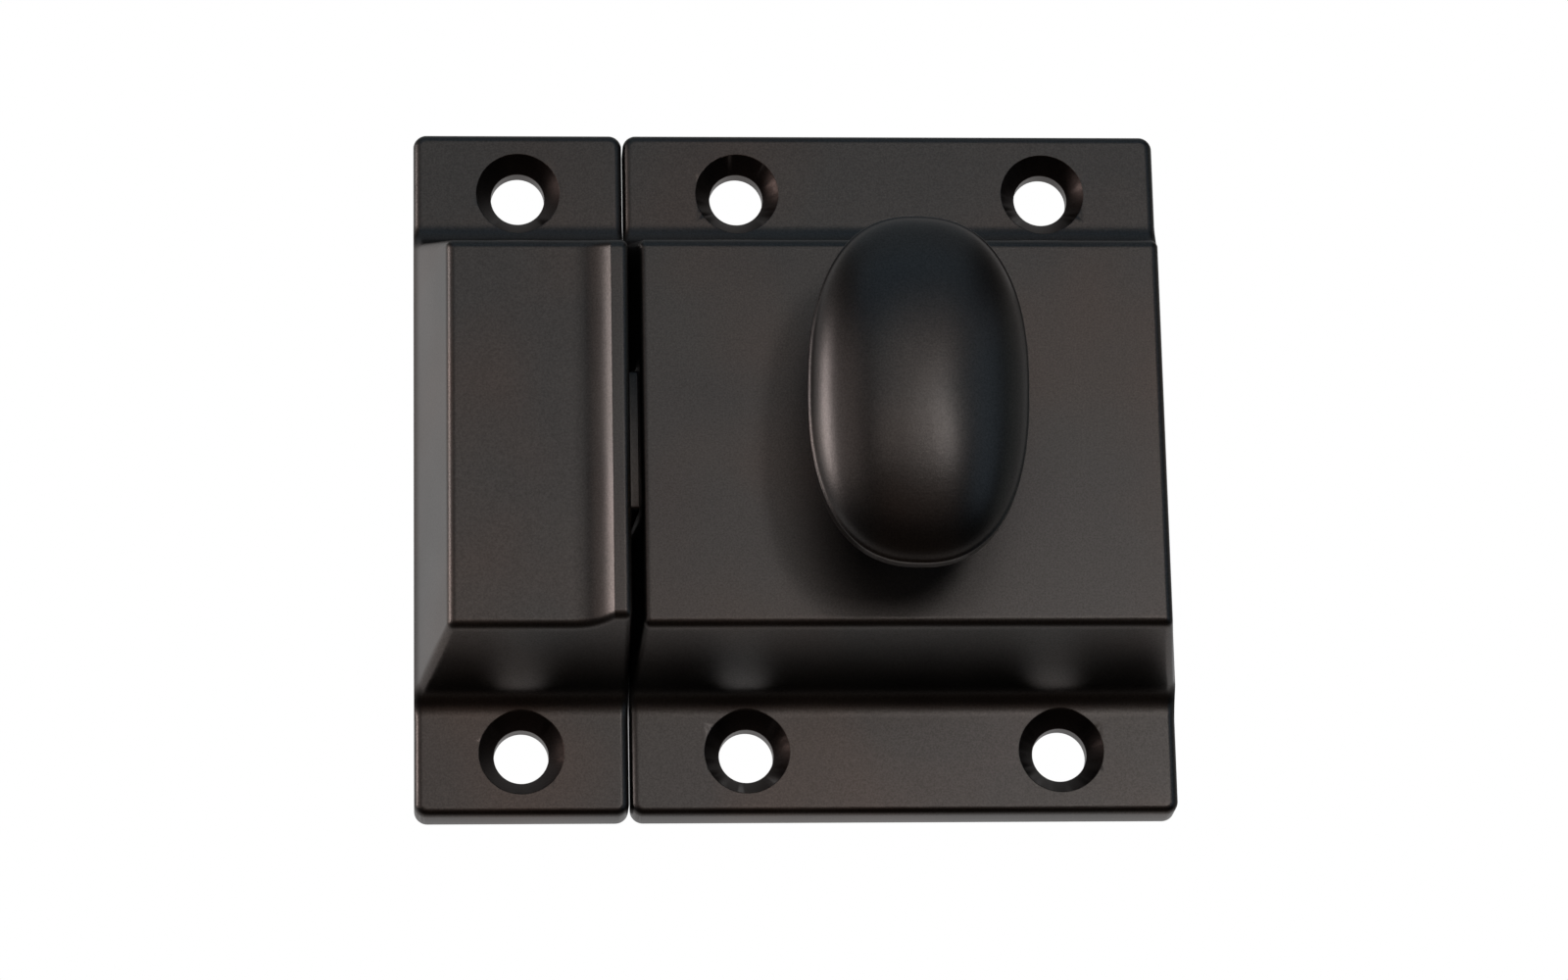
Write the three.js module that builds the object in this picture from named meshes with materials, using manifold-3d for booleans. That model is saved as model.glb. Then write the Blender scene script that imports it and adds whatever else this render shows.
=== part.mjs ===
// A cupboard turn latch: a cast case with an oval knob, and the cast catch that its bolt enters.
// Millimetres. +X right, +Z up, and the back plane at y = 0: what stands off the door has a
// negative y. A "depth" is the height above the back plane, so depth d lies at y = -d.
// The origin is on the knob's axis, at the back plane.
import * as THREE from 'three';
import { mergeVertices } from 'three/addons/utils/BufferGeometryUtils.js';
import Module from 'manifold-3d';

const wasm = await Module();
wasm.setup();

// Overall: 2 1/4 x 2 1/8 inches.
const FLANGE = { halfHeight: 27, thick: 2.7, corner: 1.0 };
const RUN = 0.05; // radial clearance of a turning or pressed round fit
const SLIP = 0.1; // clearance between faces that lie against each other
const REACH = 1; // how far a cutter stands past the material it cuts

// The case, which holds the works.
const CASE = { left: -20.55, right: 20.5, face: 12.3, faceLeft: -19.75, faceRight: 19.3 };
const CASE_WALL = { faceHalf: 15, footHalf: 18, foot: 0.9 };
const CAVITY = { left: -18.3, right: 17.3, half: 13, ceiling: 10.5 };
const RIB = { left: -17, right: 15, inner: 8.2, edge: 9.2, outer: 10.6, shoulder: 4.0 };
const POST = { x: 14.9, z: 11.3, r: 2.2, tapDepth: 7 };
const BOSS = { r: 5, end: 9.4 };

// The catch, which the bolt enters.
const CATCH = { left: -36.65, right: -20.65, face: 12.1, faceLeft: -34.1 };
const LIP = { coveStart: -25.0, coveEnd: -21.95, lead: 0.3, top: 13.3 };
const POCKET = { left: -32.6, right: -22.45, half: 13.2, ceiling: 10.3 };
const MOUTH = { half: 6, low: 3, high: 10.2 };

// Six countersunk holes for wood screws.
const SCREW_HOLE = { r: 2.05, rimR: 3.2, sink: 1.2, z: 22.15, caseX: 11.8, catchX: (CATCH.left + CATCH.right) / 2 };

// The back plate and its screws.
const BACK = { low: 0.1, high: 1.0, inset: 0.15 };
const PLATE_SCREW = { r: 0.8, headR: 1.6, end: 6 };

// The knob turns the cam by this much, and the cam's pin draws the bolt in.
const TURN = THREE.MathUtils.degToRad(58);
const PIN = { throwR: 6, r: 1.4, low: 1.6, high: 8.6, play: 0.12 };
const PIN_X = -PIN.throwR * Math.sin(TURN / 2);
const PIN_Z = PIN.throwR * Math.cos(TURN / 2);

// The bolt: a slide plate, a nose block and a lug that the spring pushes.
const PLATE = { left: -18, right: 7.6, half: 9, low: 1.35, high: 3.75 };
const NOSE = { tip: -25.9, end: -10.8, half: 5.4, high: 9.9, blunt: 1.0, bevelEnd: -20.9 };
const LUG = { left: 5.2, right: 7, half: 3, top: 8.4 };

// The spring and the pin that guides it lie along X.
const SPRING = { depth: 6.2, coilR: 1.85, wireR: 0.25, turns: 6, left: 7.3, right: 17.0 };
const GUIDE = { r: 0.8, left: 9.6, right: 18.5, lugPlay: 0.25 };

// The knob and what turns with it, from the front to the back.
const KNOB = {
  halfWidth: 8.1, halfHeight: 13.3, fullness: 2.42, back: 17.2, rim: 21.6, band: 0.8, front: 26.2, bore: 23.05,
  backShare: 0.45, steps: 12,
};
const LEAN = THREE.MathUtils.degToRad(1.6); // the knob rests this far clockwise of upright
const STEM = { low: 13.55, r: 4.3, waistR: 3.9, waist: 15, flareR: 5.2, flare: 18 };
const SPINDLE = { r: 2.5, end: 23, squareHigh: 8.7, squareLow: 6.45, half: 1.8, tailR: 1.6, low: 4.2 };
const BUSH = { r: 3.4, flangeR: 5, low: 9.4, seat: 12.4, high: 13 };
const FACE_WASHER = { r: 4.2, low: 13.1, high: 13.45 };
const THRUST_WASHER = { r: 4.2, low: 8.8, high: 9.3 };
const CAM = { hubR: 4.3, endR: 2.1, low: 6.5, high: 8.7 };
const NUT_WASHER = { r: 3.2, low: 6.0, high: 6.4 };
const NUT = { acrossFlats: 5, low: 4.5, high: 5.9 };
const SET_SCREW = { r: 0.9, depth: 15.3, inner: 2.6, outer: 3.8 };

const SIDES = 48; // facets of a large round face
const FINE = 24; // facets of a small one

// Finishes.
const finish = (color, roughness, metalness) =>
  new THREE.MeshStandardMaterial({ color, roughness, metalness });
const BRONZE = finish(0x39342f, 0.45, 0.8);
const STEEL = finish(0x9a9a98, 0.4, 0.9);
const BRASS = finish(0xb08d4f, 0.35, 0.9);

// ---- solids -----------------------------------------------------------------------------

function solid(geometry) {
  const bare = geometry.clone();
  bare.deleteAttribute('normal');
  bare.deleteAttribute('uv');
  const merged = mergeVertices(bare, 1e-5);
  const corners = merged.index.array;
  const triVerts = [];
  for (let i = 0; i < corners.length; i += 3) {
    const [a, b, c] = corners.slice(i, i + 3);
    if (a !== b && b !== c && c !== a) triVerts.push(a, b, c);
  }
  return new wasm.Manifold(new wasm.Mesh({
    numProp: 3,
    vertProperties: new Float32Array(merged.attributes.position.array),
    triVerts: new Uint32Array(triVerts),
  }));
}

function geometryOf(body) {
  const { vertProperties, triVerts } = body.getMesh();
  const geometry = new THREE.BufferGeometry();
  geometry.setAttribute('position', new THREE.BufferAttribute(vertProperties, 3));
  geometry.setIndex(new THREE.BufferAttribute(triVerts, 1));
  geometry.computeVertexNormals();
  return geometry;
}

const outline = (points) => new THREE.Shape(points.map(([u, v]) => new THREE.Vector2(u, v)));

function roundedRectangle(left, right, bottom, top, r) {
  const shape = new THREE.Shape();
  shape.absarc(right - r, top - r, r, 0, Math.PI / 2);
  shape.absarc(left + r, top - r, r, Math.PI / 2, Math.PI);
  shape.absarc(left + r, bottom + r, r, Math.PI, 1.5 * Math.PI);
  shape.absarc(right - r, bottom + r, r, 1.5 * Math.PI, 2 * Math.PI);
  return shape;
}

const extruded = (shape, depth) =>
  new THREE.ExtrudeGeometry(shape, { depth, bevelEnabled: false, curveSegments: 8 });

// A shape drawn in x and z, from one depth to another.
const throughDepth = (shape, low, high) =>
  solid(extruded(shape, high - low).translate(0, 0, low).rotateX(Math.PI / 2));

// A shape drawn in x and depth, from one z to another.
const alongZ = (shape, low, high) =>
  solid(extruded(shape, high - low).translate(0, 0, -high).rotateX(Math.PI));

// A shape drawn in z and depth, from one x to another.
function alongX(shape, low, high) {
  const turn = new THREE.Matrix4().makeBasis(
    new THREE.Vector3(0, 0, 1), new THREE.Vector3(0, -1, 0), new THREE.Vector3(1, 0, 0));
  return solid(extruded(shape, high - low).translate(0, 0, low).applyMatrix4(turn));
}

function block(left, right, bottom, top, low, high) {
  const box = new THREE.BoxGeometry(right - left, high - low, top - bottom);
  return solid(box.translate((left + right) / 2, -(low + high) / 2, (bottom + top) / 2));
}

// A profile of [radius, depth] pairs turned about an axis that stands off the back plane.
function turned(profile, x = 0, z = 0, sides = SIDES) {
  const points = profile.map(([r, d]) => new THREE.Vector2(r, d));
  return solid(new THREE.LatheGeometry(points, sides).rotateX(Math.PI).translate(x, 0, z));
}

const disc = (r, low, high, x, z, sides) => turned([[0, low], [r, low], [r, high], [0, high]], x, z, sides);
const ring = (outer, inner, low, high, sides) =>
  disc(outer, low, high, 0, 0, sides).subtract(disc(inner, low - REACH, high + REACH, 0, 0, sides));

function rod(r, left, right, depth, z = 0) {
  const bar = new THREE.CylinderGeometry(r, r, right - left, FINE).rotateZ(Math.PI / 2);
  return solid(bar.translate((left + right) / 2, -depth, z));
}

// ---- cast pieces ------------------------------------------------------------------------

const countersink = (x, z) => turned([
  [0, -REACH], [SCREW_HOLE.r, -REACH], [SCREW_HOLE.r, SCREW_HOLE.sink],
  [SCREW_HOLE.rimR, FLANGE.thick], [SCREW_HOLE.rimR, FLANGE.thick + REACH], [0, FLANGE.thick + REACH],
], x, z);

function flange(left, right, holes) {
  const { halfHeight, thick, corner } = FLANGE;
  const plate = throughDepth(roundedRectangle(left, right, -halfHeight, halfHeight, corner), 0, thick);
  return { plate, holes: holes.flatMap((x) => [countersink(x, SCREW_HOLE.z), countersink(x, -SCREW_HOLE.z)]) };
}

// The sloping upper and lower walls of a raised part, with a cove at their foot.
function slopingEnds(face, top) {
  const { faceHalf, footHalf, foot } = CASE_WALL;
  const slope = (footHalf - faceHalf) / (face - FLANGE.thick);
  const topHalf = faceHalf - slope * (top - face);
  const shape = new THREE.Shape();
  shape.moveTo(-footHalf - foot, FLANGE.thick - REACH);
  shape.lineTo(footHalf + foot, FLANGE.thick - REACH);
  shape.lineTo(footHalf + foot, FLANGE.thick);
  shape.quadraticCurveTo(footHalf, FLANGE.thick, footHalf - slope * foot, FLANGE.thick + foot);
  shape.lineTo(topHalf, top);
  shape.lineTo(-topHalf, top);
  shape.lineTo(-footHalf + slope * foot, FLANGE.thick + foot);
  shape.quadraticCurveTo(-footHalf, FLANGE.thick, -footHalf - foot, FLANGE.thick);
  return shape;
}

const cutAll = (body, cutters) => cutters.reduce((left, cutter) => left.subtract(cutter), body);
const joinAll = (body, pieces) => pieces.reduce((sum, piece) => sum.add(piece), body);
const BOTH = [-1, 1];

function latchCase() {
  const { plate, holes } = flange(CASE.left, CASE.right, [-SCREW_HOLE.caseX, SCREW_HOLE.caseX]);
  const sides = outline([
    [CASE.left, FLANGE.thick - REACH], [CASE.right, FLANGE.thick - REACH], [CASE.right, FLANGE.thick],
    [CASE.faceRight, CASE.face], [CASE.faceLeft, CASE.face], [CASE.left, FLANGE.thick],
  ]);
  const raised = alongZ(sides, -FLANGE.halfHeight, FLANGE.halfHeight)
    .intersect(alongX(slopingEnds(CASE.face, CASE.face), CASE.left - REACH, CASE.right + REACH));
  const { left, right, half, ceiling } = CAVITY;
  const hollow = block(left, right, -half, half, -REACH, ceiling);
  const root = ceiling + REACH / 2;
  const ribs = BOTH.flatMap((side) => {
    const [a, b] = [side * RIB.edge, side * RIB.outer].sort((p, q) => p - q);
    const [c, d] = [side * RIB.inner, side * RIB.outer].sort((p, q) => p - q);
    return [
      block(RIB.left, RIB.right, a, b, BACK.high + RUN, root),
      block(RIB.left, RIB.right, c, d, RIB.shoulder, root),
    ];
  });
  const posts = postPlaces().map(([x, z]) => disc(POST.r, BACK.high + RUN, root, x, z, FINE));
  const taps = postPlaces().map(([x, z]) => disc(PLATE_SCREW.r + RUN, 0, POST.tapDepth, x, z, FINE));
  const boltSlot = block(CASE.left - REACH, CAVITY.left + REACH, -NOSE.half - 2 * SLIP, NOSE.half + 2 * SLIP,
    PLATE.high - SLIP, NOSE.high + 2 * SLIP);
  const shell = plate.add(raised).subtract(hollow);
  const fitted = joinAll(shell, [...ribs, ...posts, disc(BOSS.r, BOSS.end, root)]);
  return cutAll(fitted, [
    ...holes, ...taps, boltSlot,
    disc(BUSH.r + RUN, BOSS.end - REACH, CASE.face + REACH),
    rod(GUIDE.r + RUN, CAVITY.right - REACH, GUIDE.right + SLIP, SPRING.depth),
  ]);
}

function catchPlate() {
  const { plate, holes } = flange(CATCH.left, CATCH.right, [SCREW_HOLE.catchX]);
  const side = new THREE.Shape();
  side.moveTo(CATCH.left, FLANGE.thick - REACH);
  side.lineTo(CATCH.right, FLANGE.thick - REACH);
  side.lineTo(CATCH.right, LIP.top);
  side.lineTo(LIP.coveEnd, LIP.top);
  side.quadraticCurveTo(LIP.coveEnd - LIP.lead, CATCH.face, LIP.coveStart, CATCH.face);
  side.lineTo(CATCH.faceLeft, CATCH.face);
  side.lineTo(CATCH.left, FLANGE.thick);
  const hood = alongZ(side, -FLANGE.halfHeight, FLANGE.halfHeight)
    .intersect(alongX(slopingEnds(CATCH.face, LIP.top), CATCH.left - REACH, CATCH.right + REACH));
  const { left, right, half, ceiling } = POCKET;
  return cutAll(plate.add(hood), [
    ...holes,
    block(left, right, -half, half, -REACH, ceiling),
    block(right - REACH, CATCH.right + REACH, -MOUTH.half, MOUTH.half, MOUTH.low, MOUTH.high),
  ]);
}

// ---- back plate -------------------------------------------------------------------------

function postPlaces() {
  return [[-POST.x, POST.z], [POST.x, POST.z], [-POST.x, -POST.z], [POST.x, -POST.z]];
}

function backPlate() {
  const { low, high, inset } = BACK;
  const { left, right, half } = CAVITY;
  const plate = block(left + inset, right - inset, -half + inset, half - inset, low, high);
  const sinks = postPlaces().map(([x, z]) => turned([
    [0, low - REACH], [PLATE_SCREW.headR + SLIP, low - REACH], [PLATE_SCREW.headR + SLIP, low],
    [PLATE_SCREW.r + SLIP, high], [PLATE_SCREW.r + SLIP, high + REACH], [0, high + REACH],
  ], x, z, FINE));
  return cutAll(plate, sinks);
}

const plateScrew = ([x, z]) => turned([
  [0, BACK.low], [PLATE_SCREW.headR, BACK.low], [PLATE_SCREW.r, BACK.high],
  [PLATE_SCREW.r, PLATE_SCREW.end], [0, PLATE_SCREW.end],
], x, z, FINE);

// ---- bolt and spring --------------------------------------------------------------------

function latchBolt() {
  const { left, right, half, low, high } = PLATE;
  const plate = block(left, right, -half, half, low, high);
  const nose = alongZ(outline([
    [NOSE.end, low], [PLATE.left, low], [PLATE.left, high], [NOSE.bevelEnd, high],
    [NOSE.tip, NOSE.high - NOSE.blunt], [NOSE.tip, NOSE.high], [NOSE.end, NOSE.high],
  ]), -NOSE.half, NOSE.half);
  const lug = block(LUG.left, LUG.right, -LUG.half, LUG.half, low, LUG.top);
  const slotHalf = PIN.r + PIN.play;
  const pinSlot = block(PIN_X - slotHalf, PIN_X + slotHalf, PIN_Z - slotHalf - PIN.play,
    PIN.throwR + slotHalf + PIN.play, low - REACH, high + REACH);
  const guideHole = rod(GUIDE.r + GUIDE.lugPlay, LUG.left - REACH, LUG.right + REACH, SPRING.depth);
  return cutAll(joinAll(plate, [nose, lug]), [pinSlot, guideHole]);
}

class Helix extends THREE.Curve {
  getPoint(t, target = new THREE.Vector3()) {
    const angle = 2 * Math.PI * SPRING.turns * t;
    const x = THREE.MathUtils.lerp(SPRING.left + SPRING.wireR, SPRING.right - SPRING.wireR, t);
    return target.set(x, -SPRING.depth + SPRING.coilR * Math.sin(angle), SPRING.coilR * Math.cos(angle));
  }
}

function boltSpring() {
  const wire = new THREE.Shape();
  wire.absarc(0, 0, SPRING.wireR, 0, 2 * Math.PI);
  return solid(new THREE.ExtrudeGeometry(wire, {
    extrudePath: new Helix(), steps: SPRING.turns * FINE, curveSegments: 5, bevelEnabled: false,
  }));
}

// ---- knob and what turns with it --------------------------------------------------------

// A unit circle's point moved out to a fuller oval.
const fuller = (part) => Math.sign(part) * Math.abs(part) ** (2 / KNOB.fullness);

function turnKnob() {
  const { halfWidth, halfHeight, back, rim, band, front, backShare, steps } = KNOB;
  const quarter = (i) => (Math.PI / 2) * (i / steps);
  const underside = Array.from({ length: steps + 1 }, (_, i) =>
    [backShare + (1 - backShare) * Math.sin(quarter(i)), rim - (rim - back) * Math.cos(quarter(i))]);
  const dome = Array.from({ length: steps }, (_, i) =>
    [Math.cos(quarter(i)), rim + band + (front - rim - band) * Math.sin(quarter(i))]);
  const profile = [[0, back], ...underside, ...dome, [0, front]]
    .map(([r, d]) => new THREE.Vector2(r, d));
  const oval = new THREE.LatheGeometry(profile, 2 * SIDES).rotateX(Math.PI);
  const place = oval.attributes.position;
  for (let i = 0; i < place.count; i += 1) {
    const [x, z] = [place.getX(i), place.getZ(i)];
    const r = Math.hypot(x, z) || 1;
    place.setX(i, r * fuller(x / r) * halfWidth);
    place.setZ(i, r * fuller(z / r) * halfHeight);
  }
  oval.rotateY(LEAN);
  const stem = turned([
    [0, STEM.low], [STEM.r, STEM.low], [STEM.waistR, STEM.waist], [STEM.flareR, STEM.flare], [0, STEM.flare],
  ]);
  return cutAll(solid(oval).add(stem), [
    disc(SPINDLE.r + RUN, STEM.low - REACH, KNOB.bore),
    setScrew(SET_SCREW.r + RUN, SPINDLE.r, STEM.r + REACH),
  ]);
}

// The set screw lies along -Z, under the stem.
function setScrew(r = SET_SCREW.r, inner = SET_SCREW.inner, outer = SET_SCREW.outer) {
  const pin = new THREE.CylinderGeometry(r, r, outer - inner, FINE).rotateX(Math.PI / 2);
  return solid(pin.translate(0, -SET_SCREW.depth, -(inner + outer) / 2));
}

function knobSpindle() {
  const { r, end, squareHigh, squareLow, half, tailR, low } = SPINDLE;
  const square = block(-half, half, -half, half, squareLow, squareHigh + SLIP);
  return joinAll(disc(r, squareHigh, end), [square, disc(tailR, low, squareLow + SLIP)]);
}

function spindleBush() {
  const { r, flangeR, low, seat, high } = BUSH;
  const body = turned([[0, low], [r, low], [r, seat], [flangeR, seat], [flangeR, high], [0, high]]);
  return body.subtract(disc(SPINDLE.r + RUN, low - REACH, high + REACH));
}

function boltCam() {
  const { hubR, endR, low, high } = CAM;
  const away = TURN / 2; // the arm leans this far to the left of straight up
  const [cos, sin] = [Math.cos(away), Math.sin(away)];
  const arm = new THREE.Shape([
    new THREE.Vector2(-hubR * cos, -hubR * sin), new THREE.Vector2(hubR * cos, hubR * sin),
    new THREE.Vector2(PIN_X + endR * cos, PIN_Z + endR * sin),
    new THREE.Vector2(PIN_X - endR * cos, PIN_Z - endR * sin),
  ]);
  const blank = joinAll(disc(hubR, low, high), [throughDepth(arm, low, high), disc(endR, low, high, PIN_X, PIN_Z)]);
  const hole = SPINDLE.half + RUN;
  return cutAll(blank, [
    block(-hole, hole, -hole, hole, low - REACH, high + REACH),
    disc(PIN.r + RUN, low - REACH, high + REACH, PIN_X, PIN_Z, FINE),
  ]);
}

function spindleNut() {
  const { acrossFlats, low, high } = NUT;
  const hexagon = new THREE.Shape();
  const corner = acrossFlats / 2 / Math.cos(Math.PI / 6);
  for (let i = 0; i < 6; i += 1) {
    const angle = (i * Math.PI) / 3;
    hexagon[i ? 'lineTo' : 'moveTo'](corner * Math.cos(angle), corner * Math.sin(angle));
  }
  return throughDepth(hexagon, low, high)
    .subtract(disc(SPINDLE.tailR + RUN, low - REACH, high + REACH, 0, 0, FINE));
}

// ---- assembly ---------------------------------------------------------------------------

const latch = new THREE.Group();

function add(name, body, material) {
  const mesh = new THREE.Mesh(geometryOf(body), material);
  mesh.name = name;
  latch.add(mesh);
}

add('latch_case', latchCase(), BRONZE);
add('catch_plate', catchPlate(), BRONZE);
add('turn_knob', turnKnob(), BRONZE);
add('latch_bolt', latchBolt(), BRONZE);
add('back_plate', backPlate(), STEEL);
postPlaces().forEach((place, i) => add(`plate_screw_${i + 1}`, plateScrew(place), STEEL));
add('bolt_spring', boltSpring(), STEEL);
add('spring_guide_pin', rod(GUIDE.r, GUIDE.left, GUIDE.right, SPRING.depth), STEEL);
add('knob_spindle', knobSpindle(), STEEL);
add('knob_set_screw', setScrew(), STEEL);
add('spindle_bush', spindleBush(), BRASS);
add('face_washer', ring(FACE_WASHER.r, SPINDLE.r + SLIP, FACE_WASHER.low, FACE_WASHER.high), BRASS);
add('thrust_washer', ring(THRUST_WASHER.r, SPINDLE.r + SLIP, THRUST_WASHER.low, THRUST_WASHER.high), STEEL);
add('bolt_cam', boltCam(), STEEL);
add('cam_pin', disc(PIN.r, PIN.low, PIN.high, PIN_X, PIN_Z, FINE), STEEL);
add('nut_washer', ring(NUT_WASHER.r, SPINDLE.tailR + SLIP, NUT_WASHER.low, NUT_WASHER.high, FINE), STEEL);
add('spindle_nut', spindleNut(), BRASS);

export default latch;
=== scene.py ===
"""A cast cupboard turn latch in oil-rubbed bronze, with its separate catch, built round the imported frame."""

import math

import bmesh
import bpy
import numpy as np
from mathutils import Matrix, Vector


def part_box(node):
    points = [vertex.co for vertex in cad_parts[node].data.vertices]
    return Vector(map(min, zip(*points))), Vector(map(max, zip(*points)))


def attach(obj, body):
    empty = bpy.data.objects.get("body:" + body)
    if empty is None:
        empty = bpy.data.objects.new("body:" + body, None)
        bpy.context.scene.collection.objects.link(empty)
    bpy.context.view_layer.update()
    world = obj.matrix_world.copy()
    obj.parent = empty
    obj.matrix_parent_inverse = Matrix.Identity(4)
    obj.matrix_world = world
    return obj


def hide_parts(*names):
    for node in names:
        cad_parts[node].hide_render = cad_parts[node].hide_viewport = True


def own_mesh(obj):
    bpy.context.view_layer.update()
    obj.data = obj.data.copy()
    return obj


bl_info = {
    "name": "Cupboard Turn Latch",
    "version": (1, 0, 0),
    "blender": (4, 5, 0),
    "location": "3D View > Sidebar > Latch",
    "description": "Builds a cast cupboard turn latch and its catch",
    "category": "Object",
}

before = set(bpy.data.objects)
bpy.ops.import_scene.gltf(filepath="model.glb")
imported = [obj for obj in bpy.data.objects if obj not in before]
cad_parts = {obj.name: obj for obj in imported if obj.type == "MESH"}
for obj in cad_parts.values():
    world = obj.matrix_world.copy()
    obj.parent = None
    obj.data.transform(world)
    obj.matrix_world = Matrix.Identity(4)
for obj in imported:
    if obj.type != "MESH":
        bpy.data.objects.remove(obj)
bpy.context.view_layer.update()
MM = 0.001


def extent(node):
    """A node's left, right, low and high z, and its nearest and furthest depth from the back plane, in mm."""
    low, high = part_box(node)
    return low.x / MM, high.x / MM, low.z / MM, high.z / MM, -high.y / MM, -low.y / MM


CASE_LEFT, CASE_RIGHT, CASE_LOW, CASE_HIGH, _, CASE_FACE = extent("latch_case")
CATCH_LEFT, CATCH_RIGHT, _, _, _, LIP_TOP = extent("catch_plate")
*_, STEM_LOW, KNOB_FRONT = extent("turn_knob")
NOSE_TIP, PLATE_RIGHT, _, PLATE_HALF, PLATE_BACK, NOSE_FRONT = extent("latch_bolt")
BACK_LEFT, BACK_RIGHT, BACK_LOW, BACK_HIGH, BACK_NEAR, BACK_FAR = extent("back_plate")
SPRING_LEFT, SPRING_RIGHT, *_ = extent("bolt_spring")
SCREWS = [f"plate_screw_{i}" for i in range(1, 5)]
BOTH = (-1, 1)


def linear(hex_colour):
    """A linear colour from sRGB hex."""
    parts = [int(hex_colour[i:i + 2], 16) / 255 for i in (1, 3, 5)]
    return tuple(c / 12.92 if c <= 0.04045 else ((c + 0.055) / 1.055) ** 2.4 for c in parts)


def length(name, description, millimetres):
    return bpy.props.FloatProperty(
        name=name, description=description, default=millimetres * MM, min=0.0, subtype="DISTANCE",
        unit="LENGTH")


def colour(name, description, hex_colour):
    return bpy.props.FloatVectorProperty(
        name=name, description=description, default=linear(hex_colour), min=0.0, max=1.0, size=3,
        subtype="COLOR")


class LatchSizes(bpy.types.PropertyGroup):
    flange: length("Flange thickness", "Thickness of the screwed flanges", 2.7)
    corner: length("Corner radius", "Radius of the flange's corners seen from the front", 1.0)
    edge: length("Edge radius", "Rounding of the flange's front edge", 0.65)
    face_edge: length("Face edge radius", "Rounding round the raised faces", 0.55)
    cove: length("Cove", "Size of the hollow fillet at the foot of the raised part", 1.5)
    face_half: length("Face half height", "Half the height of the raised faces", 15.0)
    foot_half: length("Foot half height", "Half the height of the raised part at the flange", 18.0)
    hole: length("Screw hole radius", "Radius of the screw holes", 2.05)
    rim: length("Countersink radius", "Radius of the countersink at the flange's face", 3.2)
    sink: length("Countersink floor", "Height of the countersink's foot over the back", 1.2)
    hole_height: length("Screw hole height", "Height of the holes above and below the knob's axis", 22.15)
    hole_apart: length("Screw hole offset", "Sideways offset of the case's screw holes", 11.8)
    knob_half_width: length("Knob half width", "Half the width of the oval knob", 8.1)
    knob_half_height: length("Knob half height", "Half the height of the oval knob", 13.3)
    break_edge: length("Broken edge", "Rounding of machined edges", 0.12)


class LatchColours(bpy.types.PropertyGroup):
    bronze: colour("Bronze", "Body colour of the oil-rubbed bronze", "#5B5856")
    bronze_dark: colour("Dark bronze", "The darker patches of the patina", "#53504F")
    bronze_warm: colour("Warm bronze", "The redder patches of the patina", "#665750")
    # The countersinks' colour is dark patina with painted shade, darkened for the shade that falls in the
    # recess.
    bronze_patina_and_painted_shade: colour("Patina and painted shade bronze", "The dark patina and painted shade in the countersinks", "#3A3331")
    zinc: colour("Zinc", "Zinc-plated steel", "#B9BBBC")
    brass: colour("Brass", "Turned brass", "#C9A86A")
    floor: colour("Floor", "Pale floor", "#F4F3F1")


def sizes():
    return bpy.context.scene.latch_sizes


def colours():
    return bpy.context.scene.latch_colours


def mm(value):
    return value / MM


# ---- meshes ---------------------------------------------------------------------------------

def mesh_object(name, points, faces):
    """A mesh object from points of (x, depth, z) in mm, with its faces turned outward."""
    mesh = bpy.data.meshes.new(name)
    mesh.from_pydata([(x * MM, -d * MM, z * MM) for x, d, z in points], [], faces)
    work = bmesh.new()
    work.from_mesh(mesh)
    bmesh.ops.recalc_face_normals(work, faces=work.faces)
    work.to_mesh(mesh)
    work.free()
    made = bpy.data.objects.new(name, mesh)
    bpy.context.scene.collection.objects.link(made)
    return made


def baked(made):
    """The object with its modifiers applied."""
    depsgraph = bpy.context.evaluated_depsgraph_get()
    mesh = bpy.data.meshes.new_from_object(made.evaluated_get(depsgraph))
    old = made.data
    made.modifiers.clear()
    made.data = mesh
    bpy.data.meshes.remove(old)
    return made


def combine(made, other, operation):
    """Cuts, joins or crosses made with other, which is used up."""
    step = made.modifiers.new(operation.title(), "BOOLEAN")
    step.operation, step.object, step.solver = operation, other, "EXACT"
    baked(made)
    bpy.data.objects.remove(other)
    return made


def merged(name, parts):
    """One object from several that don't touch."""
    work = bmesh.new()
    for part in parts:
        work.from_mesh(part.data)
        bpy.data.objects.remove(part)
    mesh = bpy.data.meshes.new(name)
    work.to_mesh(mesh)
    work.free()
    made = bpy.data.objects.new(name, mesh)
    bpy.context.scene.collection.objects.link(made)
    return made


def prism(name, outline, low, high, place):
    """An outline drawn out from low to high; place turns (u, v, along) into (x, depth, z)."""
    count = len(outline)
    points = [place(u, v, end) for end in (low, high) for u, v in outline]
    sides = [(i, (i + 1) % count, count + (i + 1) % count, count + i) for i in range(count)]
    return mesh_object(name, points, [tuple(range(count)), tuple(range(count, 2 * count)), *sides])


def through_depth(x, z, d):
    return x, d, z


def along_z(x, d, z):
    return x, d, z


def along_x(z, d, x):
    return x, d, z


def box(name, left, right, bottom, top, near, far):
    outline = [(left, bottom), (right, bottom), (right, top), (left, top)]
    return prism(name, outline, near, far, through_depth)


def rounded_outline(left, right, bottom, top, radius, steps=10):
    """A rectangle with round corners, as points."""
    centres = [(right - radius, top - radius, 0), (left + radius, top - radius, 1),
               (left + radius, bottom + radius, 2), (right - radius, bottom + radius, 3)]
    angles = [(x, z, math.pi / 2 * (quarter + i / steps))
              for x, z, quarter in centres for i in range(steps + 1)]
    return [(x + radius * math.cos(a), z + radius * math.sin(a)) for x, z, a in angles]


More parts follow.
